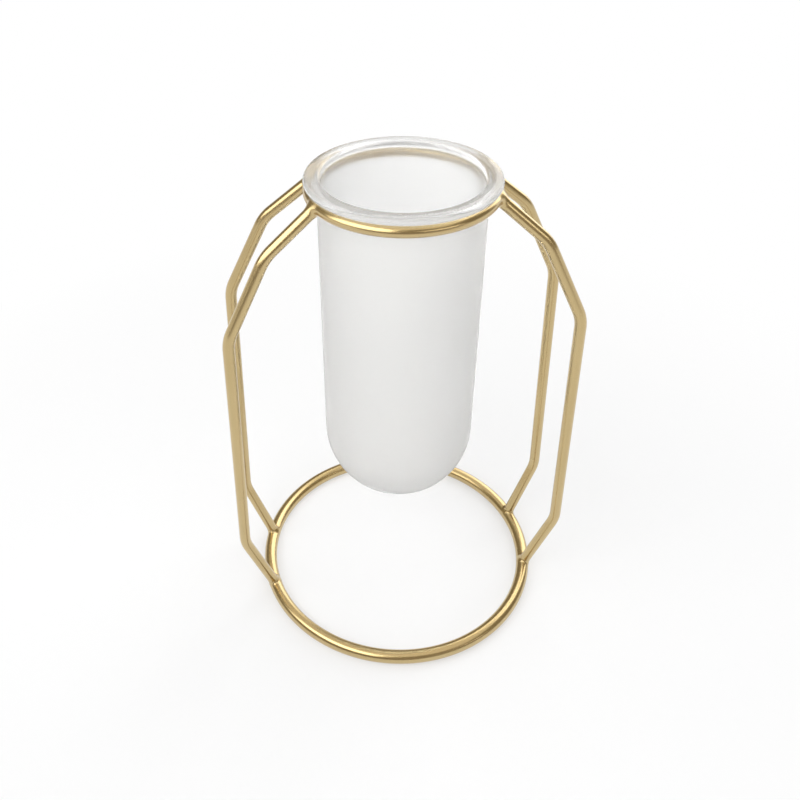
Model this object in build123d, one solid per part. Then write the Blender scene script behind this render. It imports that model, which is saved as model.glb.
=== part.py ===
"""Test tube vase: a frosted glass tube hangs by its rolled lip in a frame of bent brass wire.

The frame is a small top ring, a larger base ring and four bent legs, welded where they meet.
Lengths are millimetres. The origin is the centre of the footprint, on the surface that the
vase stands on. +Z is up, and the two pairs of legs stand at -X and +X.
"""
import math
import os

from build123d import *

# Wires
base_wire_diameter = 5.0
top_wire_diameter = 4.0
leg_wire_diameter = 4.0

# Glass tube
tube_radius = 26.8
tube_wall = 1.3
tube_length = 126.2
lip_overhang = 4.0
lip_thickness = 2.4
lip_crown = 0.25
neck_radius = 1.6
mouth_radius = 1.2

# Rings: the top ring fits round the tube, and the base ring is measured to the middle of its wire
ring_clearance = 0.15
seat_clearance = 0.1
base_ring_radius = 52.0
top_ring_rise = 163.7

# Legs: how far each bend stands out, how far it stands from the middle plane, and its height,
# measured from the middle of the base ring's wire
shoulder_reach = 43.8
shoulder_spread = 13.5
shoulder_rise = 149.1
hip_reach = 57.4
hip_spread = 15.6
hip_rise = 120.8
ankle_reach = 60.0
ankle_spread = 15.1
ankle_rise = 27.0
leg_bend_radius = 16.0

# Where the legs meet the rings, in degrees from the line through the leg pairs
top_joint_angle = 20.5
foot_joint_angle = 14.8

# Weld collars: a hollow flare from the leg's surface out to the ring
top_weld_length = 4.6
top_weld_flare = 1.3
foot_weld_length = 5.4
foot_weld_flare = 1.3
weld_edge = 0.3
weld_hollow_share = 0.35

# Derived radii, and heights above the surface that the vase stands on
top_ring_radius = tube_radius + ring_clearance + top_wire_diameter / 2
lip_radius = tube_radius + lip_overhang
base_ring_height = base_wire_diameter / 2
top_ring_height = base_ring_height + top_ring_rise
lip_seat_height = top_ring_height + top_wire_diameter / 2 + seat_clearance
lip_top_height = lip_seat_height + lip_thickness
tube_bottom_height = lip_top_height + lip_crown - tube_length
bowl_centre_height = tube_bottom_height + tube_radius

CORNERS = {
    "front_left": (-1, -1),
    "front_right": (1, -1),
    "rear_left": (-1, 1),
    "rear_right": (1, 1),
}


def wire_ring(radius, wire_diameter, height):
    """A closed ring of round wire."""
    return Pos(0, 0, height) * Torus(radius, wire_diameter / 2)


def ring_point(radius, angle, height, corner):
    """The point on a ring's centre line where the leg of a corner meets it."""
    side, depth = corner
    along = math.radians(angle)
    return Vector(side * radius * math.cos(along), depth * radius * math.sin(along), height)


def bend_point(reach, spread, rise, corner):
    """One bend of the leg that stands at a corner."""
    side, depth = corner
    return Vector(side * reach, depth * spread, base_ring_height + rise)


def leg_route(corner):
    """The leg's centre line before its bends are rounded, from the top ring to the base ring."""
    return [
        ring_point(top_ring_radius, top_joint_angle, top_ring_height, corner),
        bend_point(shoulder_reach, shoulder_spread, shoulder_rise, corner),
        bend_point(hip_reach, hip_spread, hip_rise, corner),
        bend_point(ankle_reach, ankle_spread, ankle_rise, corner),
        ring_point(base_ring_radius, foot_joint_angle, base_ring_height, corner),
    ]


def bare_leg(corner):
    """A leg before its ends are shaped to the rings."""
    route = FilletPolyline(*leg_route(corner), radius=leg_bend_radius)
    start = Plane(origin=route @ 0, z_dir=route % 0)
    return sweep(start * Circle(leg_wire_diameter / 2), path=route)


def weld_collar(joint, towards, length, flare):
    """A solid that flares from the leg's surface out to the ring it stands on."""
    direction = (towards - joint).normalized()
    leg_radius = leg_wire_diameter / 2
    foot = (leg_radius + flare, 0)
    hollow = (
        leg_radius + weld_edge + (flare - weld_edge) * weld_hollow_share,
        length * weld_hollow_share,
    )
    edge = (leg_radius + weld_edge, length)
    outline = [
        Line((0, 0), foot),
        ThreePointArc(foot, hollow, edge),
        Line(edge, (0, length)),
        Line((0, length), (0, 0)),
    ]
    flare_solid = revolve(Plane.XZ * make_face(outline), axis=Axis.Z)
    return Plane(origin=joint, z_dir=direction) * flare_solid


def room_for_tube():
    """The space that the top welds leave free for the tube and its lip."""
    centred = (Align.CENTER, Align.CENTER, Align.MIN)
    bore = Cylinder(tube_radius + ring_clearance, tube_length, align=centred)
    lip_room = Cylinder(lip_radius + ring_clearance, lip_thickness, align=centred)
    ring_top = top_ring_height + top_wire_diameter / 2
    return Pos(0, 0, tube_bottom_height) * bore + Pos(0, 0, ring_top) * lip_room


def glass_profile():
    """Half of the tube's section, with the rolled lip, the mouth and the round bottom."""
    inner_radius = tube_radius - tube_wall
    lip_round = lip_thickness / 2
    lip_shoulder = lip_radius - lip_round
    eighth = math.sqrt(0.5)

    outer_pole = (0, tube_bottom_height)
    outer_side = (tube_radius, bowl_centre_height)
    outer_middle = (tube_radius * eighth, bowl_centre_height - tube_radius * eighth)
    neck_low = (tube_radius, lip_seat_height - neck_radius)
    neck_middle = (
        tube_radius + neck_radius * (1 - eighth),
        lip_seat_height - neck_radius * (1 - eighth),
    )
    neck_high = (tube_radius + neck_radius, lip_seat_height)
    lip_under = (lip_shoulder, lip_seat_height)
    lip_edge = (lip_radius, lip_seat_height + lip_round)
    lip_over = (lip_shoulder, lip_top_height)
    mouth_high = (inner_radius + mouth_radius, lip_top_height)
    crown = ((lip_shoulder + inner_radius + mouth_radius) / 2, lip_top_height + lip_crown)
    mouth_middle = (
        inner_radius + mouth_radius * (1 - eighth),
        lip_top_height - mouth_radius * (1 - eighth),
    )
    mouth_low = (inner_radius, lip_top_height - mouth_radius)
    inner_side = (inner_radius, bowl_centre_height)
    inner_middle = (inner_radius * eighth, bowl_centre_height - inner_radius * eighth)
    inner_pole = (0, tube_bottom_height + tube_wall)

    outline = [
        ThreePointArc(outer_pole, outer_middle, outer_side),
        Line(outer_side, neck_low),
        ThreePointArc(neck_low, neck_middle, neck_high),
        Line(neck_high, lip_under),
        ThreePointArc(lip_under, lip_edge, lip_over),
        ThreePointArc(lip_over, crown, mouth_high),
        ThreePointArc(mouth_high, mouth_middle, mouth_low),
        Line(mouth_low, inner_side),
        ThreePointArc(inner_side, inner_middle, inner_pole),
        Line(inner_pole, outer_pole),
    ]
    return Plane.XZ * make_face(outline)


def export_node(name, shape):
    """Write one named piece of the vase."""
    export_step(shape, os.path.join("parts", name + ".step"))
    print(name, round(shape.volume, 1), "mm3")


os.makedirs("parts", exist_ok=True)

base_ring = wire_ring(base_ring_radius, base_wire_diameter, base_ring_height)
top_ring = wire_ring(top_ring_radius, top_wire_diameter, top_ring_height)
export_node("base_ring", base_ring)
export_node("top_ring", top_ring)

# The legs butt against the rings, so each end is cut to the ring's round surface.
# A weld collar closes each joint. The collars of one level share a node, and those of the
# top ring are dressed flush where the tube passes and where its lip rests.
top_welds = []
foot_welds = []
for corner_name, corner in CORNERS.items():
    leg = bare_leg(corner)
    route = leg_route(corner)
    top_collar = weld_collar(route[0], route[1], top_weld_length, top_weld_flare)
    foot_collar = weld_collar(route[-1], route[-2], foot_weld_length, foot_weld_flare)
    top_welds.append(top_collar - top_ring - leg - room_for_tube())
    foot_welds.append(foot_collar - base_ring - leg)
    export_node("leg_" + corner_name, leg - top_ring - base_ring)
export_node("top_welds", Compound(children=top_welds))
export_node("foot_welds", Compound(children=foot_welds))

glass_tube = revolve(glass_profile(), axis=Axis.Z)
export_node("glass_tube", glass_tube)
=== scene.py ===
# %% [markdown]
# # A test tube vase in bent brass wire
# The vase is a frosted glass tube that hangs by its rolled lip in a frame of satin brass wire.
# It is already worked out as a solid model, so this lesson loads that model and dresses it: every
# piece below stands where the solid one does, at the same size.

# %% Load the frame
import math
from collections import namedtuple

import bpy
from mathutils import Matrix, Vector


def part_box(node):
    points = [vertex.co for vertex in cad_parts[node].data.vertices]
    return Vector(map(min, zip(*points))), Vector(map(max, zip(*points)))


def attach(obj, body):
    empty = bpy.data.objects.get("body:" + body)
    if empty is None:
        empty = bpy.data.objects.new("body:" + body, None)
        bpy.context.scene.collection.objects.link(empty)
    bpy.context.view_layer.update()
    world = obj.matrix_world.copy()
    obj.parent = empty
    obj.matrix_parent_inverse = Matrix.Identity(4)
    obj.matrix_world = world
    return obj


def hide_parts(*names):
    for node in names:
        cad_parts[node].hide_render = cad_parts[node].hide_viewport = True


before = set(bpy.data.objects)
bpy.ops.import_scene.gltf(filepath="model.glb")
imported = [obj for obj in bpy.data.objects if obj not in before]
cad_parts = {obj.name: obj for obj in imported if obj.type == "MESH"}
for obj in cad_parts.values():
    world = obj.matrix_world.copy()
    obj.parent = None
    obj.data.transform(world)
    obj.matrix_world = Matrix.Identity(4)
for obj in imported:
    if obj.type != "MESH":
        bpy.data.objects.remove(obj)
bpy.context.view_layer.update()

# %% [markdown]
# ## Sizes
# The rings are read from the boxes of their solids: half the width is the outer radius, and the
# height is the wire's thickness. The bends of a leg aren't in any box, so they are named here,
# in metres, at the real size.

# %% Rings, measured from the frame
Ring = namedtuple("Ring", "radius wire height")


def ring_sizes(node):
    """Radius to the middle of the wire, radius of the wire, and height of the middle."""
    low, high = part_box(node)
    wire = (high.z - low.z) / 2
    return Ring((high.x - low.x) / 2 - wire, wire, (high.z + low.z) / 2)


BASE_RING = ring_sizes("base_ring")
TOP_RING = ring_sizes("top_ring")
print("base", BASE_RING)
print("top", TOP_RING)

# %% Bends of a leg: how far out, how far from the middle plane, and how high above the base ring
LEG_WIRE_RADIUS = 0.0020
SHOULDER = Vector((0.0438, 0.0135, 0.1491))
HIP = Vector((0.0574, 0.0156, 0.1208))
ANKLE = Vector((0.0600, 0.0151, 0.0270))
BEND_RADIUS = 0.0160
TOP_JOINT_ANGLE = math.radians(20.5)
FOOT_JOINT_ANGLE = math.radians(14.8)
CORNERS = {
    "front_left": (-1, -1),
    "front_right": (1, -1),
    "rear_left": (-1, 1),
    "rear_right": (1, 1),
}
print("legs", list(CORNERS))


# %% The route of a leg
def on_ring(ring, angle):
    """A point on a ring's centre line."""
    return Vector((ring.radius * math.cos(angle), ring.radius * math.sin(angle), ring.height))


def leg_route(side, depth):
    """The corners of a leg's centre line, from the top ring down to the base ring."""
    lift = Vector((0, 0, BASE_RING.height))
    route = [
        on_ring(TOP_RING, TOP_JOINT_ANGLE),
        SHOULDER + lift,
        HIP + lift,
        ANKLE + lift,
        on_ring(BASE_RING, FOOT_JOINT_ANGLE),
    ]
    return [Vector((side * point.x, depth * point.y, point.z)) for point in route]


print("a leg's corners", [tuple(round(v, 4) for v in p) for p in leg_route(1, 1)])

# %% [markdown]
# ## Mesh helpers
# Every piece here is a surface that runs round and along something: a ring, a wire or a lathe
# profile. So one helper turns a grid of points into a mesh, closed round one way and, if asked,
# closed the other way too. It saves writing the same loop for each piece.

# %% A mesh from a grid of points
def add_piece(name, mesh):
    """Put a mesh in the scene under a name."""
    piece = bpy.data.objects.new(name, mesh)
    bpy.context.scene.collection.objects.link(piece)
    print(name, len(mesh.vertices), "vertices", len(mesh.polygons), "faces")
    return piece


def grid_mesh(name, rows, closed_rows=False):
    """A smooth mesh from rows of points. Each row is a loop; the rows may close up as well.

    A row of a single point is a pole, which the next row fans out from."""
    vertices = []
    starts = []
    for row in rows:
        starts.append(len(vertices))
        vertices.extend(tuple(point) for point in row)
    pairs = list(zip(range(len(rows)), range(1, len(rows))))
    if closed_rows:
        pairs.append((len(rows) - 1, 0))
    faces = []
    for a, b in pairs:
        count = max(len(rows[a]), len(rows[b]))
        for i in range(count):
            j = (i + 1) % count
            corners = []
            for row, index in ((a, i), (a, j), (b, j), (b, i)):
                vertex = starts[row] + (index if len(rows[row]) > 1 else 0)
                if vertex not in corners:
                    corners.append(vertex)
            faces.append(corners)
    mesh = bpy.data.meshes.new(name)
    mesh.from_pydata(vertices, [], faces)
    mesh.validate()
    mesh.shade_smooth()
    return add_piece(name, mesh)


# %% Points round a circle
ORIGIN = Vector((0, 0, 0))
ALONG = Vector((1, 0, 0))
DEEP = Vector((0, 1, 0))
UP = Vector((0, 0, 1))


def circle(centre, across, up, radius, count):
    """Points round a circle that lies in the plane of two unit vectors."""
    turns = [math.tau * i / count for i in range(count)]
    return [centre + (across * math.cos(t) + up * math.sin(t)) * radius for t in turns]


quarters = circle(ORIGIN, ALONG, UP, 1, 4)
print("a circle in four steps", [tuple(round(v) for v in p) for p in quarters])

# %% [markdown]
# ## The two rings
# A ring is drawn wire, rolled into a hoop and welded shut. A torus primitive would do as well,
# but the grid helper gives the same surface, and one way of working then serves every piece. The
# ring has the sizes of the solid one, and as many steps as a close view needs.

# %% Rolled rings
RING_STEPS = 240
WIRE_STEPS = 48


def wire_ring(name, ring):
    """A closed hoop of round wire."""
    rows = []
    for i in range(RING_STEPS):
        turn = math.tau * i / RING_STEPS
        outward = Vector((math.cos(turn), math.sin(turn), 0))
        centre = outward * ring.radius + UP * ring.height
        rows.append(circle(centre, outward, UP, ring.wire, WIRE_STEPS))
    return grid_mesh(name, rows, closed_rows=True)


base_hoop = wire_ring("base_hoop", BASE_RING)
top_hoop = wire_ring("top_hoop", TOP_RING)
for hoop, node in ((base_hoop, "base_ring"), (top_hoop, "top_ring")):
    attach(hoop, "frame")
    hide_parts(node)

# %% [markdown]
# ## The bent legs
# A leg is one straight length of wire, bent three times over a former, so each bend is an arc
# that runs smoothly into the straights. A curve with a bevel could draw it, but here the arcs
# are worked out from the former's radius, and a circle is carried along the line, turning as
# little as it can from step to step, so that the wire never twists. The straights get rows of
# their own, because smooth shading spreads over a long face, and a bend would then seem to
# start where the wire is still straight.

# %% The centre line with its bends
ARC_STEPS = 12
STRAIGHT_STEP = 0.0020


def between(start, end):
    """Points along a straight run, without its ends."""
    steps = math.ceil((end - start).length / STRAIGHT_STEP)
    return [start.lerp(end, i / steps) for i in range(1, steps)]


def bend(before, corner, after, radius):
    """Points of the arc that rounds a corner, touching both straights."""
    back = (before - corner).normalized()
    ahead = (after - corner).normalized()
    half_turn = (math.pi - back.angle(ahead)) / 2
    middle = (back + ahead).normalized()
    centre = corner + middle * (radius / math.cos(half_turn))
    start = corner + back * (radius * math.tan(half_turn))
    spoke = start - centre
    axis = back.cross(ahead).normalized()
    steps = [-2 * half_turn * i / ARC_STEPS for i in range(ARC_STEPS + 1)]
    return [centre + Matrix.Rotation(step, 3, axis) @ spoke for step in steps]


def bent_line(route):
    """The whole centre line: the two ends and an arc at every corner between them."""
    line = [route[0]]
    for before, corner, after in zip(route, route[1:], route[2:]):
        arc_points = bend(before, corner, after, BEND_RADIUS)
        line += between(line[-1], arc_points[0]) + arc_points
    return line + between(line[-1], route[-1]) + [route[-1]]


leg_line = bent_line(leg_route(1, 1))
leg_length = sum((b - a).length for a, b in zip(leg_line, leg_line[1:]))
print("wire in a leg", round(leg_length * 1000, 1), "mm")

# %% Carry the wire along the line
LEG_STEPS = 48


def wire_along(name, line, radius):
    """Round wire along a line, with a flat cap at each end, and no twist."""
    runs = [(b - a).normalized() for a, b in zip(line, line[1:])]
    turns = [(a + b).normalized() for a, b in zip(runs, runs[1:])]
    headings = [runs[0], *turns, runs[-1]]
    across = headings[0].orthogonal().normalized()
    previous = headings[0]
    rows = [[line[0]]]
    for point, heading in zip(line, headings):
        across = previous.rotation_difference(heading) @ across
        across = (across - heading * across.dot(heading)).normalized()
        rows.append(circle(point, across, heading.cross(across), radius, LEG_STEPS))
        previous = heading
    rows.append([line[-1]])
    return grid_mesh(name, rows)


legs = []
for corner_name, corner in CORNERS.items():
    leg = wire_along("bent_leg_" + corner_name, bent_line(leg_route(*corner)), LEG_WIRE_RADIUS)
    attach(leg, "frame")
    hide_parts("leg_" + corner_name)
    legs.append(leg)

# %% [markdown]
# ## The welds
# Where a leg meets a ring, brass was melted into the corner, and it set in a smooth hollow.
# Joining the meshes and smoothing the seam would round the corner too, but to no set size. To
# blend two shapes, it helps to know for any point how far it is from each of them. The smaller of
# the two distances describes both shapes together, and a smooth minimum, which dips a little
# below where the two are nearly the same, also fills the corner. The weld's skin is where that
# distance is nil, so it is found by walking outwards from a point in the joint in every direction.

# %% Distances
def wire_distance(point, on_line, heading):
    """How far a point is from the skin of a leg's straight end."""
    offset = point - on_line
    return (offset - heading * offset.dot(heading)).length - LEG_WIRE_RADIUS


def ring_distance(point, ring):
    """How far a point is from the skin of a ring."""
    out = math.hypot(point.x, point.y)
    return math.hypot(out - ring.radius, point.z - ring.height) - ring.wire


def smooth_minimum(a, b, width):
    """The smaller of two distances, eased where they are closer than width."""
    overlap = max(width - abs(a - b), 0.0) / width
    return min(a, b) - overlap**2 * width / 4


print("of 1 mm and 1 mm, eased over 2 mm:", smooth_minimum(1.0, 1.0, 2.0), "mm")

# %% [markdown]
# The welds at the top were filed flush where the tube passes and where its lip rests, and those
# at the foot so that the frame stands flat. A shape is cut by another where the larger of two
# distances is taken, so the filing is one more line of the same sum.

# %% Keep the welds clear of the tube, its lip and the floor
TUBE_LOW, TUBE_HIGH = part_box("glass_tube")
LIP_RADIUS = (TUBE_HIGH.x - TUBE_LOW.x) / 2
LIP_CLEARANCE = 0.00015
TUBE_ROOM = TOP_RING.radius - TOP_RING.wire
LIP_ROOM = LIP_RADIUS + LIP_CLEARANCE
RING_TOP = TOP_RING.height + TOP_RING.wire


def dressed(point, distance):
    """The distance to the same shape, cut back for the tube, its lip and the floor."""
    out = math.hypot(point.x, point.y)
    under_lip = min(point.z - RING_TOP, LIP_ROOM - out)
    return max(distance, TUBE_ROOM - out, under_lip, -point.z)


print("room for the tube", TUBE_ROOM, "and for its lip", LIP_ROOM)

# %% Walk outwards to the skin of the weld
STRIDE = 0.00025
WALK = 0.0060
HALVINGS = 8


def weld_skin(start, direction, is_metal):
    """The last metal on a walk in one direction, found by strides and then by halving."""
    travel = STRIDE
    while travel < WALK and is_metal(start + direction * travel):
        travel += STRIDE
    inside, outside = travel - STRIDE, travel
    if travel >= WALK:
        return start + direction * inside
    for _ in range(HALVINGS):
        travel = (inside + outside) / 2
        if is_metal(start + direction * travel):
            inside = travel
        else:
            outside = travel
    return start + direction * inside


ball_edge = weld_skin(ORIGIN, ALONG, lambda point: point.length < 0.001)
print("a ball of 1 mm radius ends at", round(ball_edge.x * 1000, 3), "mm")

# %% A weld in every direction
WELD_STEPS = 72
WELD_LEVELS = 64
# The weld runs out this far under the ring's skin, and ends this far over the leg's.
UNDER_RING = 0.00002
OVER_LEG = 0.00004
# The walks start up the leg, at this share of the ring wire's radius.
START_SHARE = 0.9


def weld(name, joint, towards, ring, width, reach):
    """A blob that fills the corner between a leg's end and a ring, up to reach along the leg."""
    heading = (towards - joint).normalized()
    across = heading.orthogonal().normalized()
    along = heading.cross(across)
    start = joint + heading * (ring.wire * START_SHARE)

    def is_metal(point):
        ahead = (point - joint).dot(heading)
        leg = max(wire_distance(point, joint, heading) - OVER_LEG, -ahead)
        filled = smooth_minimum(leg, ring_distance(point, ring) + UNDER_RING, width)
        return dressed(point, max(filled, ahead - reach)) < 0

    rows = []
    for level in range(WELD_LEVELS + 1):
        tilt = math.pi * level / WELD_LEVELS
        count = 1 if level in (0, WELD_LEVELS) else WELD_STEPS
        row = []
        for i in range(count):
            turn = math.tau * i / WELD_STEPS
            outward = across * math.cos(turn) + along * math.sin(turn)
            direction = outward * math.sin(tilt) + heading * math.cos(tilt)
            row.append(weld_skin(start, direction, is_metal))
        rows.append(row)
    return grid_mesh(name, rows)


print("walks for each weld", WELD_STEPS * (WELD_LEVELS - 1) + 2)

# %% The eight welds: how wide the hollow is, and how far up the leg it reaches
TOP_WELD = (0.0022, 0.0036)
FOOT_WELD = (0.0011, 0.0034)
top_welds = []
foot_welds = []
for corner_name, corner in CORNERS.items():
    route = leg_route(*corner)
    top_welds.append(weld("top_weld_" + corner_name, route[0], route[1], TOP_RING, *TOP_WELD))
    foot_welds.append(weld("foot_weld_" + corner_name, route[-1], route[-2], BASE_RING, *FOOT_WELD))
for group, node in ((top_welds, "top_welds"), (foot_welds, "foot_welds")):
    for piece in group:
        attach(piece, "frame")
        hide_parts(node)

# %% [markdown]
# ## The glass tube
# The tube was drawn from glass pipe: one end is closed to a round bottom, and the other is
# heated and rolled outwards into a lip. Anything turned about one line is best made as a lathe
# piece: half of the section is drawn once and spun. Blender's Screw modifier spins one too, but
# the grid helper is at hand and closes the poles. The section goes up the outside, round the
# lip, over the mouth and down the inside, so that the glass has its true wall.

# %% Sizes of the glass
LIP_OVERHANG = 0.0040
LIP_THICKNESS = 0.0024
LIP_CROWN = 0.00025
NECK_RADIUS = 0.0016
MOUTH_RADIUS = 0.0012
TUBE_WALL = 0.0013
TUBE_RADIUS = LIP_RADIUS - LIP_OVERHANG
INNER_RADIUS = TUBE_RADIUS - TUBE_WALL
LIP_TOP = TUBE_HIGH.z - LIP_CROWN
LIP_SEAT = LIP_TOP - LIP_THICKNESS
BOWL_CENTRE = TUBE_LOW.z + TUBE_RADIUS
print("tube", round(TUBE_RADIUS * 2000, 1), "mm across, lip", round(LIP_RADIUS * 2000, 1), "mm")


# %% Lines and arcs of a section
def arc(centre, radius, start, end, steps):
    """Points of an arc in the section, given as (distance from the axis, height)."""
    turns = [math.radians(start + (end - start) * i / steps) for i in range(steps + 1)]
    return [(centre[0] + radius * math.cos(t), centre[1] + radius * math.sin(t)) for t in turns]


def wall(distance, start, end):
    """Points up or down a straight wall of the section, without its ends."""
    run = between(Vector((distance, start)), Vector((distance, end)))
    return [tuple(point) for point in run]


print("points up the outer wall", len(wall(TUBE_RADIUS, BOWL_CENTRE, LIP_SEAT - NECK_RADIUS)))

# %% The crown of the lip, a shallow arc
crown_from = LIP_RADIUS - LIP_THICKNESS / 2
crown_to = INNER_RADIUS + MOUTH_RADIUS
crown_half = (crown_from - crown_to) / 2
crown_radius = (crown_half**2 + LIP_CROWN**2) / (2 * LIP_CROWN)
crown_turn = math.degrees(math.asin(crown_half / crown_radius))
crown_centre = ((crown_from + crown_to) / 2, LIP_TOP + LIP_CROWN - crown_radius)
print("the crown turns", round(2 * crown_turn, 1), "degrees")

# %% Draw the section
BOWL_STEPS = 28
LIP_STEPS = 18
CROWN_STEPS = 6
EDGE_STEPS = 8
half_lip = LIP_THICKNESS / 2
neck_centre = (TUBE_RADIUS + NECK_RADIUS, LIP_SEAT - NECK_RADIUS)
crown_arc = arc(crown_centre, crown_radius, 90 - crown_turn, 90 + crown_turn, CROWN_STEPS)
section = (
    arc((0, BOWL_CENTRE), TUBE_RADIUS, -90, 0, BOWL_STEPS)
    + wall(TUBE_RADIUS, BOWL_CENTRE, LIP_SEAT - NECK_RADIUS)
    + arc(neck_centre, NECK_RADIUS, 180, 90, EDGE_STEPS)
    + arc((crown_from, LIP_SEAT + half_lip), half_lip, -90, 90, LIP_STEPS)
    + crown_arc[1:-1]
    + arc((crown_to, LIP_TOP - MOUTH_RADIUS), MOUTH_RADIUS, 90, 180, EDGE_STEPS)
    + wall(INNER_RADIUS, LIP_TOP - MOUTH_RADIUS, BOWL_CENTRE)
    + arc((0, BOWL_CENTRE), INNER_RADIUS, 0, -90, BOWL_STEPS)
)
print("section of", len(section), "points")

# %% Spin it
LATHE_STEPS = 192
ON_AXIS = 1e-7


def lathe(name, section, steps):
    """Spin a closed section about the upright axis. It starts and ends on the axis."""
    rows = []
    for distance, height in section:
        level = UP * height
        rows.append([level] if distance < ON_AXIS else circle(level, ALONG, DEEP, distance, steps))
    return grid_mesh(name, rows)


tube = lathe("test_tube", section, LATHE_STEPS)
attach(tube, "tube")
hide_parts("glass_tube")

# %% [markdown]
# ## Materials as sums
# A material is a small calculation that is done again for every point of a surface. Written as
# nodes it is hard to read, so this class lets one be written as a sum: it holds one output, and
# plus, minus, times and divide on it add the Math nodes. It is for numbers only, because a Math
# node turns a colour grey. Colours go through a Mix node, and every other node comes from the
# one method of the class after it.

# %% A socket that does sums
class Value:
    """One number that varies over a surface."""

    def __init__(self, finish, output):
        self.finish = finish
        self.output = output

    def _sum(self, operation, first, second, clamp=False):
        settings = {"operation": operation, "use_clamp": clamp}
        return self.finish.value("ShaderNodeMath", settings, {0: first, 1: second})

    def __add__(self, other):
        return self._sum("ADD", self, other)

    def __radd__(self, other):
        return self._sum("ADD", other, self)

    def __sub__(self, other):
        return self._sum("SUBTRACT", self, other)

    def __rsub__(self, other):
        return self._sum("SUBTRACT", other, self)

    def __mul__(self, other):
        return self._sum("MULTIPLY", self, other)

    def __rmul__(self, other):
        return self._sum("MULTIPLY", other, self)

    def __truediv__(self, other):
        return self._sum("DIVIDE", self, other)

    def __rtruediv__(self, other):
        return self._sum("DIVIDE", other, self)

    def held(self):
        """The same number, kept between 0 and 1."""
        return self._sum("ADD", self, 0.0, clamp=True)


# %% The nodes of a finish
class Finish:
    """The nodes of a material, or of the room, under construction."""

    def __init__(self, block):
        self.block = block
        self.block.use_nodes = True
        self.tree = self.block.node_tree
        self.tree.nodes.clear()

    def node(self, kind, settings=None, sockets=None):
        """Add a node: its settings first, then the values or links of its sockets."""
        made = self.tree.nodes.new(kind)
        for name, setting in (settings or {}).items():
            setattr(made, name, setting)
        for name, given in (sockets or {}).items():
            if isinstance(given, Value):
                given = given.output
            if isinstance(given, bpy.types.NodeSocket):
                self.tree.links.new(given, made.inputs[name])
            else:
                made.inputs[name].default_value = given
        return made

    def value(self, kind, settings=None, sockets=None, output=0):
        """Add a node and wrap one of its outputs, so that sums can go on from it."""
        return Value(self, self.node(kind, settings, sockets).outputs[output])

    def noise(self, place, scale, detail):
        """Cloudy noise over the surface, between 0 and 1."""
        sockets = {"Vector": place, "Scale": scale, "Detail": detail}
        return self.value("ShaderNodeTexNoise", sockets=sockets)

    def mixed(self, factor, first, second):
        """Two shaders, mixed by a number."""
        sockets = {0: factor, 1: first.outputs[0], 2: second.outputs[0]}
        return self.node("ShaderNodeMixShader", sockets=sockets)

    def surface(self, shader, kind="ShaderNodeOutputMaterial"):
        """Make a shader node the surface, and give back what it is the surface of."""
        self.node(kind, sockets={"Surface": shader.outputs[0]})
        print("finish", self.block.name, len(self.tree.nodes), "nodes")
        return self.block


# %% [markdown]
# ## Satin brass
# The wire was rubbed with a fine pad, so it isn't a mirror: highlights are long and soft along
# it. The colour is the metal's own reflection, a pale yellow. Over it lies a clear lacquer, which
# is the coat: it adds a second, white reflection, so the highlights are paler than the metal. One
# colour and one roughness would do from afar. Close by, fine noise varies the roughness as the
# rubbing did, and a faint bump breaks the reflections, far too small to be seen as lumps.

# %% Brass finish
DEEP_BRASS = (0.540, 0.410, 0.195, 1.0)
PALE_BRASS = (0.590, 0.453, 0.225, 1.0)


def satin_brass():
    """Brass wire, rubbed satin and lacquered."""
    brass = Finish(bpy.data.materials.new("satin_brass"))
    place = brass.node("ShaderNodeTexCoord").outputs["Object"]
    rub = brass.noise(place, scale=420.0, detail=3.0)
    cloud = brass.noise(place, scale=38.0, detail=2.0)
    grain = brass.noise(place, scale=2600.0, detail=2.0)
    # Noise keeps near its middle, so it is stretched to reach both colours.
    tone = (cloud * 1.6 - 0.3).held()
    colour = brass.node(
        "ShaderNodeMix",
        {"data_type": "RGBA"},
        {"Factor": tone, "A": DEEP_BRASS, "B": PALE_BRASS},
    )
    bump = brass.node(
        "ShaderNodeBump", sockets={"Strength": 0.08, "Distance": 0.00004, "Height": grain}
    )
    shader = brass.node(
        "ShaderNodeBsdfPrincipled",
        sockets={
            "Base Color": colour.outputs["Result"],
            "Metallic": 1.0,
            "Roughness": 0.20 + rub * 0.10,
            "Coat Weight": 0.6,
            "Coat Roughness": 0.22,
            "Normal": bump.outputs["Normal"],
        },
    )
    return brass.surface(shader)


BRASS = satin_brass()
for piece in [base_hoop, top_hoop, *legs, *top_welds, *foot_welds]:
    piece.data.materials.append(BRASS)

# %% [markdown]
# ## Frosted glass with a clear lip
# The tube was frosted after it was shaped: its skin is etched, so light goes in and out of it in
# all directions. The lip was fire-polished and stays clear. Both are glass with a little milky
# white in them. A material for each would leave a hard line between their faces, so one material
# mixes two shaders by height: the etched one below the lip's underside, and the polished one
# above, with a soft edge between them.

# %% Glass finish
ETCHED_WHITE = (0.976, 0.976, 0.971, 1.0)
POLISHED_WHITE = (0.86, 0.86, 0.855, 1.0)
GLASS_IOR = 1.45
GLASS_CLARITY = 0.86
CLEAR_BELOW_SEAT = 0.0012
CLEAR_OVER = 0.0016


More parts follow.
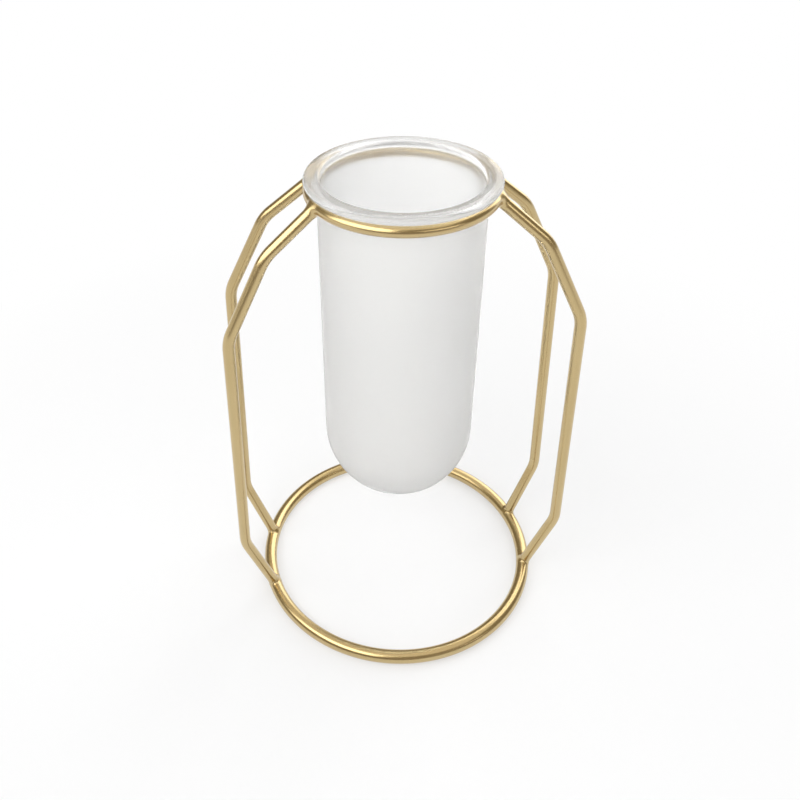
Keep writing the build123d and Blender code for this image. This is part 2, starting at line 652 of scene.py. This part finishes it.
def frosted_glass():
    """Etched glass with a polished lip."""
    glass = Finish(bpy.data.materials.new("frosted_glass"))
    place = glass.node("ShaderNodeTexCoord").outputs["Object"]
    height = glass.value("ShaderNodeSeparateXYZ", sockets={0: place}, output="Z")
    clear = ((height - (LIP_SEAT - CLEAR_BELOW_SEAT)) / CLEAR_OVER).held()
    etch = glass.noise(place, scale=900.0, detail=4.0)
    bump = glass.node(
        "ShaderNodeBump", sockets={"Strength": 0.25, "Distance": 0.00006, "Height": etch}
    )
    etched = glass.node(
        "ShaderNodeBsdfPrincipled",
        sockets={
            "Base Color": ETCHED_WHITE,
            "Roughness": 0.50 + etch * 0.12,
            "IOR": GLASS_IOR,
            "Transmission Weight": GLASS_CLARITY,
            "Normal": bump.outputs["Normal"],
        },
    )
    polished = glass.node(
        "ShaderNodeBsdfPrincipled",
        sockets={
            "Base Color": POLISHED_WHITE,
            "Roughness": 0.22,
            "IOR": GLASS_IOR,
            "Transmission Weight": GLASS_CLARITY,
        },
    )
    return glass.surface(glass.mixed(clear, etched, polished))


tube.data.materials.append(frosted_glass())

# %% [markdown]
# ## The floor
# The photograph was taken on a white sweep, so the floor and the background are one white sheet.
# A diffuse white sheet catches the shadows, but it also needs to reach pure white in the
# picture. So for rays from the camera, and for those that metal and glass send out, half of the
# sheet near the vase is its own white, and the rest is lit as paper is, which keeps a pale
# shadow. Further out all of it is its own white.

# %% White sweep
WHITE = (1.0, 1.0, 1.0, 1.0)
PAPER = (0.87, 0.87, 0.87, 1.0)
OWN_WHITE = 0.50
SHADOWS_TO = 0.10
WHITE_OVER = 0.20


def sweep_paper():
    """White paper that keeps a pale shadow."""
    paper = Finish(bpy.data.materials.new("sweep_paper"))
    rays = paper.node("ShaderNodeLightPath")
    seen = (
        Value(paper, rays.outputs["Is Camera Ray"])
        + Value(paper, rays.outputs["Is Glossy Ray"])
        + Value(paper, rays.outputs["Is Transmission Ray"])
    ).held()
    place = paper.node("ShaderNodeTexCoord").outputs["Object"]
    length = {"operation": "LENGTH"}
    distance = paper.value("ShaderNodeVectorMath", length, {0: place}, output="Value")
    far = ((distance - SHADOWS_TO) / WHITE_OVER).held()
    lit = paper.node("ShaderNodeBsdfDiffuse", sockets={"Color": PAPER})
    white = paper.node("ShaderNodeEmission", sockets={"Color": WHITE, "Strength": 1.0})
    return paper.surface(paper.mixed(seen * (OWN_WHITE + far * (1 - OWN_WHITE)), lit, white))


FLOOR_RADIUS = 4.0
FLOOR_STEPS = 96
floor = grid_mesh("floor", [[ORIGIN], circle(ORIGIN, ALONG, DEEP, FLOOR_RADIUS, FLOOR_STEPS)])
floor.data.materials.append(sweep_paper())

# %% [markdown]
# ## Light
# A soft box close by on the camera's left, aimed past the mouth, lights the tube and the left
# legs. A taller one stands behind on the right, and the pale shadows lie on the floor away from
# both, as in the photograph. A wide box above fills them, and a low one on the right gives that
# side its edge light. Sizes are in metres and powers in watts.

# %% Lamps
def soft_box(name, place, aim, width, height, power):
    """A rectangular lamp at a place, facing the point it is aimed at."""
    lamp = bpy.data.lights.new(name, "AREA")
    lamp.shape = "RECTANGLE"
    lamp.size = width
    lamp.size_y = height
    lamp.energy = power
    holder = bpy.data.objects.new(name, lamp)
    holder.location = place
    holder.rotation_mode = "QUATERNION"
    holder.rotation_quaternion = (aim - place).to_track_quat("-Z", "Y")
    bpy.context.scene.collection.objects.link(holder)
    print(name, power, "W, at", round((aim - place).length, 2), "m from its aim")


HEART = Vector((0, 0, 0.08))
ABOVE_MOUTH = Vector((0.005, -0.007, 0.30))
soft_box(
    "left_box", Vector((-0.245, -0.175, 0.35)), ABOVE_MOUTH, width=0.46, height=0.30, power=1.19
)
soft_box("back_box", Vector((0.65, 0.68, 0.62)), HEART, width=0.95, height=1.10, power=6.8)
soft_box("top_box", Vector((0.0, 0.0, 1.3)), HEART, width=2.20, height=2.20, power=9.6)
soft_box("right_card", Vector((0.62, -0.95, 0.38)), HEART, width=0.90, height=0.35, power=1.9)

# %% [markdown]
# ## A dark card
# Bright metal shows what stands round it, and in an all-white room brass looks like chalk. A
# photographer puts a dark card just out of the picture, so that each wire gets a dark line beside
# its highlight. Here it stands in front, and only rays that metal and glass send out see it.

# %% The card in front
CARD_HALF_WIDTH = 0.7
CARD_PLACE = -0.45
CARD_HEIGHT = 0.26
FELT = (0.34, 0.29, 0.22, 1.0)
card_corners = [
    (-CARD_HALF_WIDTH, CARD_PLACE, 0),
    (CARD_HALF_WIDTH, CARD_PLACE, 0),
    (CARD_HALF_WIDTH, CARD_PLACE, CARD_HEIGHT),
    (-CARD_HALF_WIDTH, CARD_PLACE, CARD_HEIGHT),
]
card_mesh = bpy.data.meshes.new("dark_card")
card_mesh.from_pydata(card_corners, [], [(0, 1, 2, 3)])
card = add_piece("dark_card", card_mesh)
felt = Finish(bpy.data.materials.new("dark_felt"))
dark = felt.node("ShaderNodeBsdfDiffuse", sockets={"Color": FELT})
card.data.materials.append(felt.surface(dark))
card.visible_camera = False
card.visible_shadow = False
card.visible_diffuse = False

# %% [markdown]
# ## The room
# The rest of the room is a grey dome. Metal mirrors a warmer grey, which keeps the darker sides
# of the wires golden, as they are in the photograph. The camera, and glass that is looked
# through, see plain white instead, so the picture's background is white without any more light
# on the vase.

# %% Grey room
ROOM_GREY = (0.30, 0.30, 0.30, 1.0)
ROOM_WARM = (0.30, 0.26, 0.19, 1.0)
world = bpy.data.worlds.new("grey_room")
bpy.context.scene.world = world
room = Finish(world)
rays = room.node("ShaderNodeLightPath")
seen = (
    Value(room, rays.outputs["Is Camera Ray"]) + Value(room, rays.outputs["Is Transmission Ray"])
).held()
grey, warm, white = (
    room.node("ShaderNodeBackground", sockets={"Color": colour})
    for colour in (ROOM_GREY, ROOM_WARM, WHITE)
)
mirrored = room.mixed(rays.outputs["Is Glossy Ray"], grey, warm)
room.surface(room.mixed(seen, mirrored, white), "ShaderNodeOutputWorld")

# %% [markdown]
# ## The camera
# The camera's place was worked out from the photograph: where the rings narrow into ellipses
# gives the height, and how fast the legs draw together gives the distance. The picture's middle
# isn't where the lens points, so the frame is shifted a little, as a view camera's is.

# %% The lens
# The first three are in pixels of the photograph.
PICTURE = 800
FOCAL_PIXELS = 852.79
POINT_OF_SIGHT = (351.7, 330.8)
SENSOR = 36.0
lens = bpy.data.cameras.new("camera")
lens.sensor_width = SENSOR
lens.lens = FOCAL_PIXELS / PICTURE * SENSOR
lens.shift_x = (PICTURE / 2 - POINT_OF_SIGHT[0]) / PICTURE
lens.shift_y = (POINT_OF_SIGHT[1] - PICTURE / 2) / PICTURE
lens.clip_start = 0.01
print("lens", round(lens.lens, 2), "mm")

# %% Where the camera stands
CAMERA_AZIMUTH = math.radians(-4.557)
CAMERA_ELEVATION = math.radians(34.715)
CAMERA_ROLL = math.radians(-1.122)
CAMERA_DISTANCE = 0.29011
CAMERA_TARGET = Vector((-0.01679, -0.00144, 0.11453))
away = Vector(
    (
        math.sin(CAMERA_AZIMUTH) * math.cos(CAMERA_ELEVATION),
        -math.cos(CAMERA_AZIMUTH) * math.cos(CAMERA_ELEVATION),
        math.sin(CAMERA_ELEVATION),
    )
)
facing = (-away).to_track_quat("-Z", "Y").to_matrix()
camera = bpy.data.objects.new("camera", lens)
bpy.context.scene.collection.objects.link(camera)
bpy.context.scene.camera = camera
camera.location = CAMERA_TARGET + away * CAMERA_DISTANCE
camera.rotation_mode = "QUATERNION"
camera.rotation_quaternion = (facing @ Matrix.Rotation(CAMERA_ROLL, 3, "Z")).to_quaternion()
print("camera at", [round(v, 4) for v in camera.location])

# %% [markdown]
# ## The view
# The Standard view shows colours as they were worked out, so that white paper stays white.

# %% The view
bpy.context.scene.view_settings.view_transform = "Standard"
